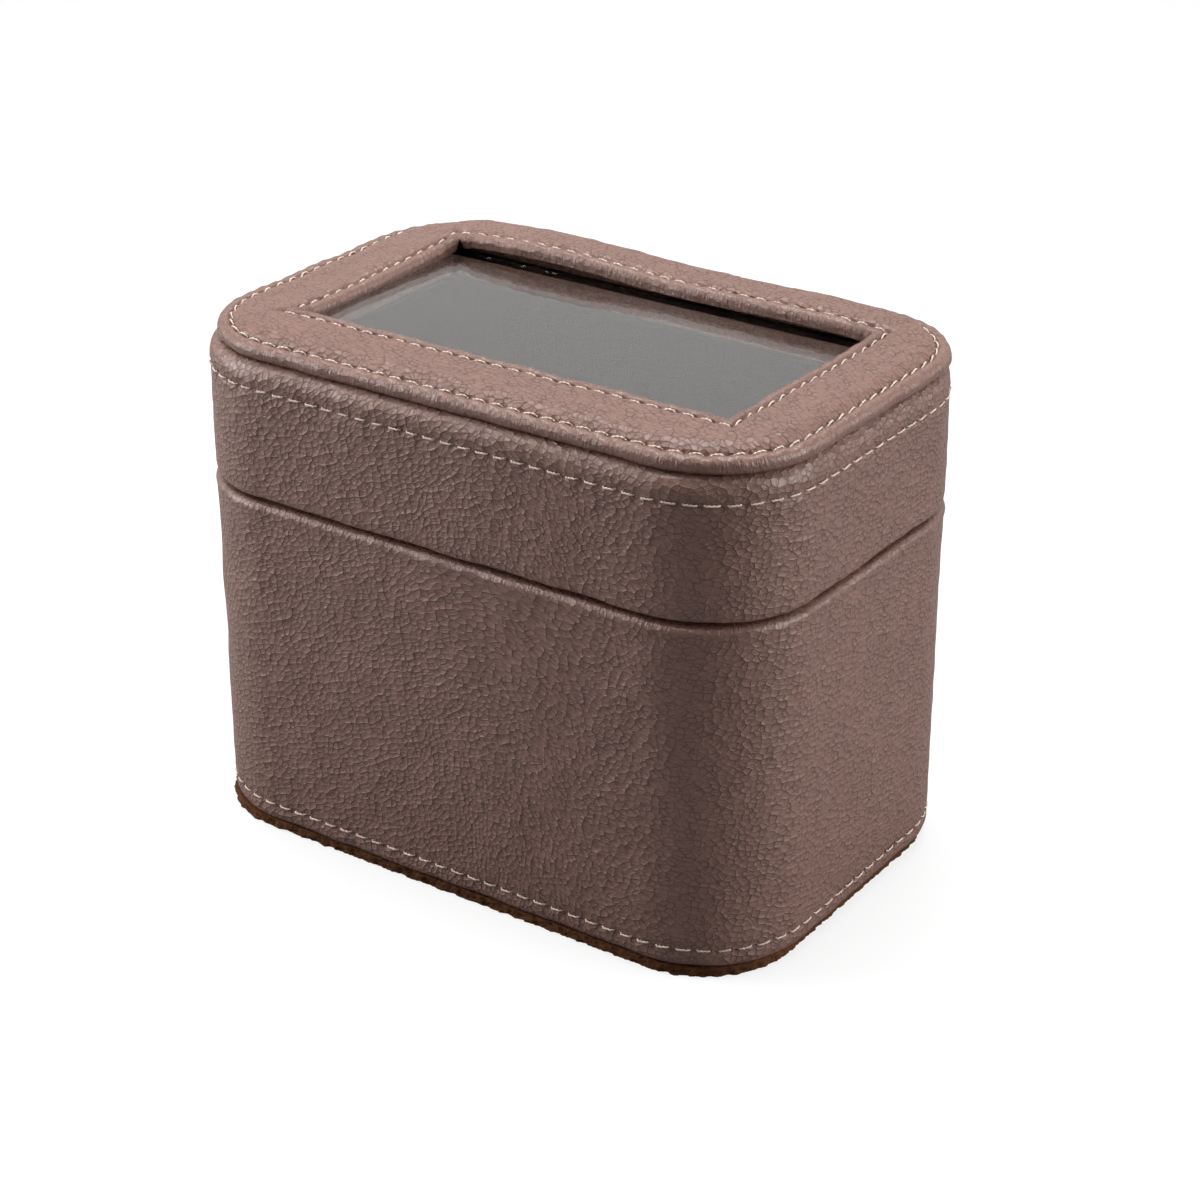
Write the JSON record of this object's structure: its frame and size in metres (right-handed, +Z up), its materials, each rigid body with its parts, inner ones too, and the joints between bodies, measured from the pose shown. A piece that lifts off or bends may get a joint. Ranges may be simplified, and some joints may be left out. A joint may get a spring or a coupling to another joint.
{
  "type": "watch box",
  "caption": "Rounded leather-covered watch box with a deep base, a hinged lid that has a padded sewn frame round a glass window, and removable watch pillows.",
  "frame": {"origin": "middle of the flat underside of the box", "axes": "+X along the long side, +Y towards the hinged back, +Z up through the lid"},
  "size_m": [0.121, 0.0803, 0.096],
  "materials": {
    "leather_taupe": "pebbled, semi-matt",
    "suede_brown": "napped suede, matt",
    "lining_suede": "napped, matt",
    "pillow_suede": "napped, matt",
    "board": "raw fibreboard",
    "card_grey": "grey board",
    "foam": "open foam, matt",
    "pane_glass": "clear, polished",
    "hinge_brass": "satin",
    "screw_brass": "satin",
    "magnet_nickel": "nickel plated"
  },
  "bodies": {
    "base": {"bottom_suede_sheet": "suede_brown", "base_floor_board": "board", "base_wall_board": "board", "base_leather_wrap": "leather_taupe", "base_floor_lining": "lining_suede", "base_wall_lining": "lining_suede", "divider_board": "board", "divider_suede": "lining_suede", "base_magnets": "magnet_nickel", "hinge_base_leaf_left": "hinge_brass", "hinge_base_leaf_right": "hinge_brass", "hinge_pin_left": "hinge_brass", "hinge_pin_right": "hinge_brass", "hinge_base_screws": "screw_brass"},
    "pillow_left": {"pillow_left_core": "foam", "pillow_left_cover": "pillow_suede"},
    "pillow_right": {"pillow_right_core": "foam", "pillow_right_cover": "pillow_suede"},
    "lid": {"lid_wall_board": "board", "lid_top_board": "board", "lid_leather_wrap": "leather_taupe", "lid_ceiling_lining": "lining_suede", "lid_wall_lining": "lining_suede", "lid_magnets": "magnet_nickel", "window_pane": "pane_glass", "frame_card": "card_grey", "frame_foam": "foam", "frame_leather": "leather_taupe", "hinge_lid_leaf_left": "hinge_brass", "hinge_lid_leaf_right": "hinge_brass", "hinge_lid_screws": "screw_brass"}
  },
  "joints": [
    {"name": "lid_hinge", "type": "hinge", "parent": "base", "child": "lid", "pos_m": [0, 0.0395, 0.066], "axis": [-1, 0, 0], "range_deg": [0, 100]},
    {"name": "pillow_left_lift", "type": "slide", "parent": "base", "child": "pillow_left", "axis": [0, 0, 1], "range_m": [0, 0.038]},
    {"name": "pillow_right_lift", "type": "slide", "parent": "base", "child": "pillow_right", "axis": [0, 0, 1], "range_m": [0, 0.038]}
  ]
}
